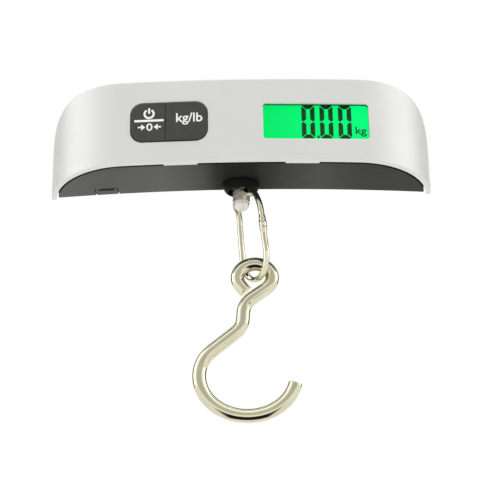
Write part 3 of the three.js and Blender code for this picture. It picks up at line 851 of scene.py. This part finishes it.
def line_points(a, b, step=0.35):
    a, b = Vector(a), Vector(b)
    count = max(1, int((b - a).length / step))
    return [tuple(a + (b - a) * i / count) for i in range(count + 1)]


def joined(*runs):
    path = list(runs[0])
    for run in runs[1:]:
        path += run[1:]
    return path


EYE_X, EYE_Z, EYE_HALF_WIDTH, EYE_HALF_HEIGHT = 4.05, -33.6, 5.75, 4.8
EYE_START, EYE_END, EYE_RUN = math.radians(214.5), math.radians(-50), 2.7
NECK_RADIUS, NECK_LENGTH = 6.7, 0.9
SHOULDER_RADIUS, SHOULDER_TURN = 6.4, math.radians(52)
SIDE_RADIUS = 10.3
BOWL_X, BOWL_HALF, BOWL_BOTTOM, TIP = 1.2, 15.6, -79.7, math.radians(-12)
HOOK_Y, HOOK_WIRE = 19.9, 2.25


def eye_slope(t):
    """Angle of the eye's ellipse at t, read along the turn."""
    return math.atan2(EYE_HALF_HEIGHT * math.cos(t), -EYE_HALF_WIDTH * math.sin(t))


def hook_path():
    eye = arc_points(EYE_X, EYE_Z, EYE_HALF_WIDTH, EYE_HALF_HEIGHT, EYE_START, EYE_END)
    start_x, start_z = eye[0]
    slope = eye_slope(EYE_START)
    free_end = (start_x + EYE_RUN * math.cos(slope), start_z + EYE_RUN * math.sin(slope))
    limb = line_points(free_end, eye[0])
    exit_x, exit_z = eye[-1]
    slope = eye_slope(EYE_END)
    neck_x = NECK_RADIUS * (1 - math.sin(slope))
    neck_z = exit_z - (exit_x - neck_x) * math.tan(slope)
    centre_z = neck_z - NECK_RADIUS * math.cos(slope)
    slant = line_points((exit_x, exit_z), (neck_x, neck_z))
    neck = arc_points(NECK_RADIUS, centre_z, NECK_RADIUS, NECK_RADIUS,
                      math.pi / 2 + slope, math.pi)
    down = line_points((0, centre_z), (0, centre_z - NECK_LENGTH))
    shoulder = arc_points(-SHOULDER_RADIUS, centre_z - NECK_LENGTH, SHOULDER_RADIUS,
                          SHOULDER_RADIUS, 0, -SHOULDER_TURN)
    side_x = BOWL_X - BOWL_HALF
    start_x, start_z = shoulder[-1]
    turn_x = side_x + SIDE_RADIUS * (1 - math.cos(SHOULDER_TURN))
    turn_z = start_z - (start_x - turn_x) / math.tan(SHOULDER_TURN)
    run = line_points((start_x, start_z), (turn_x, turn_z))
    bowl_z = turn_z - SIDE_RADIUS * math.sin(SHOULDER_TURN)
    side = arc_points(side_x + SIDE_RADIUS, bowl_z, SIDE_RADIUS, SIDE_RADIUS,
                      math.pi - SHOULDER_TURN, math.pi)
    bowl = arc_points(BOWL_X, bowl_z, BOWL_HALF, bowl_z - BOWL_BOTTOM, math.pi,
                      2 * math.pi + TIP)
    return joined(limb, eye, slant, neck, down, shoulder, run, side, bowl)


def smooth_path(path, rounds=6):
    """Evens out the bends where one arc meets the next."""
    points = [Vector((*p, 0)) for p in path]
    for _ in range(rounds):
        points = [points[0]] + [
            (points[i - 1] + points[i] * 2 + points[i + 1]) / 4 for i in range(1, len(points) - 1)
        ] + [points[-1]]
    return [(p.x, p.y) for p in points]


END_CUT = 0.35
END_STEPS = (0.0, 0.02, 0.05, 0.1, 0.17, 0.25)


def fine_ends(line):
    """Puts close points at a wire's two ends, for its rounded cut edges."""
    first, second, before_last, last = (Vector(line[i]) for i in (0, 1, -2, -1))
    start_dir = (second - first).normalized()
    end_dir = (last - before_last).normalized()
    head = [tuple(first + start_dir * s) for s in END_STEPS]
    foot = [tuple(last - end_dir * s) for s in reversed(END_STEPS)]
    return head + line[1:-1] + foot


def cut_radius(line):
    """The hook wire's radius along a path: rounded over at both cut ends."""
    places = [0.0]
    for a, b in zip(line, line[1:]):
        places.append(places[-1] + (Vector(b) - Vector(a)).length)

    def at(share):
        place = places[round(share * (len(places) - 1))]
        near = min(place, places[-1] - place)
        if near >= END_CUT:
            return HOOK_WIRE
        return HOOK_WIRE - END_CUT * (1 - math.sqrt(max(0, 1 - (1 - near / END_CUT) ** 2)))

    return at


hook_line = fine_ends(smooth_path(hook_path()))
hook = sweep("hook_wire", [(x, HOOK_Y, z) for x, z in hook_line], cut_radius(hook_line), sides=48)


def pinch(obj, place, depth, size):
    """Presses a small dent into a wire, as a bending tool leaves it."""
    centre = row(place)
    for v in obj.data.vertices:
        near = (v.co - centre).length / (size * MM)
        if near < 3:
            v.co -= v.normal * depth * MM * math.exp(-near * near)


pinch(hook, (1.9, 17.9, -43.4), 0.2, 0.55)
pinch(hook, (3.0, 17.9, -42.6), -0.14, 0.5)
finish_piece(hook, "hook", hook_steel, ["hook"], crease=50)

LINK_WIRE, LINK_TOP, LINK_LEAN = 1.0, -2.8, math.radians(7.3)
RIGHT_BENDS = [(2.4, -0.15), (4.5, -1.8), (7.7, -3), (9.8, -7.5), (10.2, -12.5), (10, -19.5)]
LEFT_BENDS = [(-4.1, -19.5), (-3.6, -12.5), (-3.1, -7), (-4.4, -3.4), (-3.1, -0.2)]
LOOP_X, LOOP_Z, LOOP_RADIUS = 2.9, -24.3, 7.1
WELD = Vector((10.15, -14.6))
link_place = (
    Matrix.Translation((0, LOAD_Y, LINK_TOP))
    @ Matrix.Rotation(-LINK_TURN, 4, "Z")
    @ Matrix.Rotation(LINK_LEAN, 4, "X")
)


def link_path(steps=22):
    """A closed smooth curve through the bends of the link."""
    bends = [(0, 0), *RIGHT_BENDS]
    for i in range(5):
        t = math.pi * i / 4
        bends.append((LOOP_X + LOOP_RADIUS * math.cos(t), LOOP_Z - LOOP_RADIUS * math.sin(t)))
    bends = [Vector(p) for p in bends + LEFT_BENDS]
    path = []
    for i, here in enumerate(bends):
        before, after, beyond = (bends[(i + k) % len(bends)] for k in (-1, 1, 2))
        out, into = (after - before) / 2, (beyond - here) / 2
        for k in range(steps):
            t = k / steps
            path.append(tuple(
                here * (2 * t**3 - 3 * t**2 + 1) + out * (t**3 - 2 * t**2 + t)
                + after * (3 * t**2 - 2 * t**3) + into * (t**3 - t**2)))
    return path


def weld_radius(path):
    """The wire swells into an uneven bead round the weld."""

    def at(share):
        here = Vector(path[round(share * (len(path) - 1))])
        gap = (here - WELD).length * (1 if here.y > WELD.y else -1)
        if abs(gap) > 4:
            return LINK_WIRE
        swell = 0.3 * math.exp(-((abs(gap) / 2.3) ** 4))
        ripple = 0.09 * math.sin(gap * 3.1 + 0.6) * math.exp(-((gap / 2.6) ** 2))
        return LINK_WIRE + swell + ripple

    return at


link_line = link_path()
link_points = [link_place @ Vector((x, 0, z)) for x, z in link_line]
link = sweep("link_wire", link_points, weld_radius(link_line), sides=28, closed=True)
finish_piece(link, "link", link_steel, ["link"], crease=60)

# ---------------------------------------------------------------- keys

KEY_GAP = 0.22
KEY_SPLIT_HALF = 0.03
KEY_BACK = 3.1
SPLIT_CORNER = 0.3
ROUND_OVER = 0.3
LEAST_CORNER = 0.12
POWER_PROUD, UNIT_PROUD = 0.3, 0.44


def key_cap(name, x0, x1, radii, proud):
    """A key's cap: rounded over at the front, on a wider plate behind the cover."""
    _, _, low, high, _ = KEY_FIELD
    low, high = low + KEY_GAP, high - KEY_GAP
    steps = 6
    stations = []
    for i in range(steps + 1):
        t = math.pi / 2 * i / steps
        stations.append((ROUND_OVER * (1 - math.cos(t)) - proud, ROUND_OVER * (math.sin(t) - 1)))
    stations.append((KEY_BACK, 0.0))
    rings = []
    for y, grow in stations:
        section = rounded_rect(x0 - grow, x1 + grow, low - grow, high + grow,
                               [max(LEAST_CORNER, r + grow) for r in radii], 10)
        rings.append([(x, y, z) for x, z in section])
    return arched(loft(name, rings))


key_corner = KEY_FIELD[4] - KEY_GAP
power_cap = key_cap("power_cap", KEY_FIELD[0] + KEY_GAP, KEY_SPLIT - KEY_SPLIT_HALF,
                    [key_corner, SPLIT_CORNER, SPLIT_CORNER, key_corner], POWER_PROUD)
finish_piece(power_cap, "power_button", rubber, ["power_zero_key"])
unit_cap = key_cap("unit_cap", KEY_SPLIT + KEY_SPLIT_HALF, KEY_FIELD[1] - KEY_GAP,
                   [SPLIT_CORNER, key_corner, key_corner, SPLIT_CORNER], UNIT_PROUD)
finish_piece(unit_cap, "unit_button", rubber, ["unit_key"])

# ---------------------------------------------------------------- printed marks

MARK_THICKNESS = 0.05


def plate_from(name, outline, y, thickness=MARK_THICKNESS):
    """A thin plate with an outline in x and z, standing forward from depth y."""
    return arched(loft(name, [[(x, d, z) for x, z in outline] for d in (y - thickness, y)]))


def stroke(name, path, width, y):
    """A stroke of one width along an open path, lofted as a ribbon so that bends stay clean."""
    rings = []
    for i, p in enumerate(path):
        before = Vector(path[max(0, i - 1)])
        after = Vector(path[min(len(path) - 1, i + 1)])
        along = (after - before).normalized()
        side = Vector((-along.y, along.x)) * width / 2
        a, b = Vector(p) + side, Vector(p) - side
        rings.append([(a.x, y - MARK_THICKNESS, a.y), (b.x, y - MARK_THICKNESS, b.y),
                      (b.x, y, b.y), (a.x, y, a.y)])
    return arched(loft(name, rings))


def text_mesh(name, words, size, width, centre, y, thickness=MARK_THICKNESS):
    """Plain lettering as a thin solid, scaled to a width and centred at (x, z)."""
    curve = bpy.data.curves.new(name, "FONT")
    curve.body = words
    curve.size = size
    curve.extrude = thickness / 2
    curve.offset = 0.012 * size
    curve.resolution_u = 6
    made = bpy.data.objects.new(name + "_text", curve)
    bpy.context.scene.collection.objects.link(made)
    bpy.context.view_layer.update()
    graph = bpy.context.evaluated_depsgraph_get()
    mesh = bpy.data.meshes.new_from_object(made.evaluated_get(graph))
    bpy.data.objects.remove(made)
    xs = [v.co.x for v in mesh.vertices]
    zs = [v.co.y for v in mesh.vertices]
    scale = width / (max(xs) - min(xs))
    mid_x, mid_z = (max(xs) + min(xs)) / 2, (max(zs) + min(zs)) / 2
    for v in mesh.vertices:
        x, z, depth = (v.co.x - mid_x) * scale, v.co.y - mid_z, v.co.z
        v.co = row((centre[0] + x, y - thickness / 2 - depth, centre[1] + z))
    piece = bpy.data.objects.new(name, mesh)
    bpy.context.scene.collection.objects.link(piece)
    weld(piece, 1e-7)
    return piece


def merge(name, parts):
    """Joins thin solids that don't touch into one piece."""
    points, faces = [], []
    for part in parts:
        base = len(points)
        points += [v.co.copy() for v in part.data.vertices]
        faces += [tuple(base + i for i in p.vertices) for p in part.data.polygons]
        bpy.data.objects.remove(part)
    mesh = bpy.data.meshes.new(name)
    mesh.from_pydata(points, [], faces)
    made = bpy.data.objects.new(name, mesh)
    bpy.context.scene.collection.objects.link(made)
    return made


FACE = -POWER_PROUD
POWER_X, POWER_Z, POWER_RADIUS = -29.75, 17.35, 1.5
RING_GAP = 33
BAR_Z = 14.9
ZERO_X, ZERO_Z = -29.6, 12.6
ARROW_HALF = 1.1

power_ring = []
for i in range(41):
    t = math.radians(90 + RING_GAP + i * (360 - 2 * RING_GAP) / 40)
    power_ring.append((POWER_X + POWER_RADIUS * math.cos(t), POWER_Z + POWER_RADIUS * math.sin(t)))


def arrow(side):
    """An arrow towards the zero from one side of it, -1 or 1."""
    tail, neck, base, point = (ZERO_X + side * reach for reach in (3.8, 2.6, 2.7, 1.4))
    shaft = stroke("arrow_shaft", [(tail, ZERO_Z), (neck, ZERO_Z)], 0.5, FACE)
    head = [(base, ZERO_Z + ARROW_HALF), (base, ZERO_Z - ARROW_HALF), (point, ZERO_Z)]
    return [shaft, plate_from("arrow_head", head, FACE)]


power_marks = [
    stroke("ring", power_ring, 0.68, FACE),
    stroke("tick", [(POWER_X, POWER_Z + 0.1), (POWER_X, POWER_Z + 2.0)], 0.66, FACE),
    stroke("bar", [(POWER_X - 4.8, BAR_Z), (POWER_X + 4.8, BAR_Z)], 0.78, FACE),
    arched(text_mesh("zero", "0", 3.6, 2.0, (ZERO_X, ZERO_Z), FACE)),
    *arrow(-1),
    *arrow(1),
]
power_print = merge("power_print", power_marks)
finish_piece(power_print, "power_button", white_ink, crease=20)
unit_print = arched(text_mesh("unit_print", "kg/lb", 4.5, 8.6, (-16.6, 15.1), -UNIT_PROUD))
finish_piece(unit_print, "unit_button", white_ink, crease=20)

# ---------------------------------------------------------------- display

DISPLAY_Y = 3.28
DIGIT_WIDTH, DIGIT_HEIGHT, DIGIT_STROKE, SEGMENT_GAP = 4.35, 12.0, 1.5, 0.2
DIGIT_CENTRES = (22.5, 28.5, 34.6)
DIGIT_Z = 15.1
SEGMENT_DEPTH = 0.04
CELL_BACK = 5
LENS_FRONT, LENS_BACK = 2.4, 3.2


def digit_zero(cx, cz):
    """The six lit segments of a zero, each with mitred ends."""
    w, h, s, g = DIGIT_WIDTH / 2, DIGIT_HEIGHT / 2, DIGIT_STROKE, SEGMENT_GAP / 2
    corner = 0.45
    shapes = []
    for up in (1, -1):
        top = [(-w + g + corner, h), (w - g - corner, h), (w - g - 0.2, h - 0.25),
               (w - s - g * 0.2, h - s + 0.1), (-w + s + g * 0.2, h - s + 0.1),
               (-w + g + 0.2, h - 0.25)]
        shapes.append([(x, z * up) for x, z in top])
        for across in (1, -1):
            bar = [(w, h - corner - g * 2), (w - 0.15, h - 0.42 - g), (w - s, h - s - g * 1.5),
                   (w - s, g + s * 0.55), (w - s * 0.45, g), (w, g + 0.35)]
            shapes.append([(x * across, z * up) for x, z in bar])
    return [[(cx + x, cz + z) for x, z in shape] for shape in shapes]


cell_left, cell_right, cell_low = WINDOW[0] - 1, WINDOW[1] + 1, WINDOW[2] - 0.4
glass = block("display_cell", cell_left, cell_right, DISPLAY_Y + 0.02, DISPLAY_Y + 0.2, cell_low,
              WINDOW[3] + 1.5, 0.3)
combine(glass, "UNION", block("glass_body", cell_left, cell_right, DISPLAY_Y + 0.1, CELL_BACK,
                              cell_low, WINDOW[3] + 0.4, 0.3))
finish_piece(arched(glass), "case", lit_display, ["lcd_cell"])

segments = []
for centre in DIGIT_CENTRES:
    for shape in digit_zero(centre, DIGIT_Z):
        segments.append(plate_from("segment", shape, DISPLAY_Y, SEGMENT_DEPTH))
point = rounded_rect(25.35, 26.05, 9.2, 10.1, 0.1, 2)
segments.append(plate_from("point", point, DISPLAY_Y, SEGMENT_DEPTH))
segments.append(arched(text_mesh("kg", "kg", 3.7, 3.6, (39.75, 11.7), DISPLAY_Y, SEGMENT_DEPTH)))
readout = merge("readout", segments)
finish_piece(readout, "case", segment_ink, crease=20)

lens = arched(block("window_lens", cell_left, cell_right, LENS_FRONT, LENS_BACK, WINDOW[2] - 1.2,
                    WINDOW[3] + 1.2, 0.4))
finish_piece(lens, "case", clear_lens, ["lcd_lens"])

# ---------------------------------------------------------------- case screws

SCREW_RADIUS, SCREW_SEAT, SCREW_RIM, SCREW_CROWN = 2.1, -1.6, -0.75, -0.6
SLOT_HALF_LENGTH, SLOT_HALF_WIDTH, SLOT_FLOOR, SLOT_TURN = 1.35, 0.26, -1.15, 0.3


def screw_head(name, x, z):
    """A low round head with a cross slot, sunk in the back of the case."""
    profile = rounded([(0.0, SCREW_SEAT), (SCREW_RADIUS, SCREW_SEAT), (SCREW_RADIUS, SCREW_RIM),
                       (0.0, SCREW_CROWN)], [0, 0.1, 0.25, 0])
    steps = 48
    rings = []
    for i in range(steps):
        t = 2 * math.pi * i / steps
        rings.append([(x + r * math.cos(t), DEPTH + d, z + r * math.sin(t)) for r, d in profile])
    made = loft(name, rings, closed_path=True)
    weld(made)
    for turn in (SLOT_TURN, SLOT_TURN + math.pi / 2):
        half = Vector((math.cos(turn), math.sin(turn))) * SLOT_HALF_LENGTH
        side = Vector((-half.y, half.x)).normalized() * SLOT_HALF_WIDTH
        section = [half + side, -half + side, -half - side, half - side]
        cutter = loft("slot", [[(x + p.x, DEPTH + d, z + p.y) for p in section]
                               for d in (SLOT_FLOOR, 1)])
        combine(made, "DIFFERENCE", cutter)
    return made


for i, x in enumerate(CASE_POSTS):
    head = screw_head(f"screw_head_{i + 1}", x, POST_Z - arch(x))
    finish_piece(head, "case", zinc, [f"case_screw_{i + 1}"])

# ---------------------------------------------------------------- inner pieces

INNER_LOOKS = {
    "lcd_frame": white_plastic, "lcd_backlight": white_plastic, "lcd_strip_connector": rubber,
    "power_plunger": white_plastic, "unit_plunger": white_plastic, "power_switch": black,
    "unit_switch": black, "circuit_board": board_green, "controller_blob": black,
    "board_screw_1": zinc, "board_screw_2": zinc, "coin_cell": zinc, "battery_holder": black,
    "negative_contact": brass, "positive_contact": brass, "load_cell": aluminium,
    "load_plate": zinc, "beam_spacer_left": zinc, "beam_spacer_right": zinc,
    "beam_screw_left": zinc, "beam_screw_right": zinc, "strain_gauge_left": film,
    "strain_gauge_right": film, "sensor_lead": film, "thrust_washer": brass,
    "retaining_clip": zinc,
}
for name, look in INNER_LOOKS.items():
    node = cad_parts[name]
    node.data.materials.clear()
    node.data.materials.append(look)

# ---------------------------------------------------------------- floor and studio light

FLOOR_Z = -0.27
FLOOR_HALF = 9

# Levels of the studio's light round the object, from behind the camera to the back wall.
STUDIO = [(0.0, 0.55), (0.1, 0.62), (0.24, 1.15), (0.4, 1.9), (0.6, 1.9), (0.68, 0.02),
          (0.86, 0.02), (0.93, 0.95)]


def pale_floor():
    turns = ((-1, -1), (1, -1), (1, 1), (-1, 1))
    corners = [(x * FLOOR_HALF, y * FLOOR_HALF, FLOOR_Z) for x, y in turns]
    mesh = bpy.data.meshes.new("floor")
    mesh.from_pydata(corners, [], [(0, 1, 2, 3)])
    mesh.materials.append(surface(
        "pale_floor", (0.4, 0.4, 0.396), spread=0.01, size=60, rough=(0.7, 0.8), grain=40,
        grain_bump=0.02, Emission_Color=(1, 1, 0.99, 1), Emission_Strength=0.5))
    floor = bpy.data.objects.new("floor", mesh)
    bpy.context.scene.collection.objects.link(floor)


def studio_light():
    """A soft studio for what the object reflects, and plain white for what the camera sees."""
    world = bpy.data.worlds.new("studio")
    bpy.context.scene.world = world
    world.use_nodes = True
    n = Nodes(world.node_tree)
    n.tree.nodes.clear()
    direction = n.add("ShaderNodeTexCoord").outputs["Generated"]
    towards_back = n.share(n.axes(direction)["Y"], -1, 1)
    lit, plain = n.add("ShaderNodeBackground"), n.add("ShaderNodeBackground")
    n.link(n.ramp(towards_back, STUDIO), lit.inputs["Color"])
    plain.inputs["Color"].default_value = (1, 1, 1, 1)
    choice = n.add("ShaderNodeMixShader")
    factor, first, second = choice.inputs
    n.link(n.add("ShaderNodeLightPath").outputs["Is Camera Ray"], factor)
    n.link(lit.outputs["Background"], first)
    n.link(plain.outputs["Background"], second)
    output = n.add("ShaderNodeOutputWorld")
    n.link(choice.outputs["Shader"], output.inputs["Surface"])


pale_floor()
studio_light()
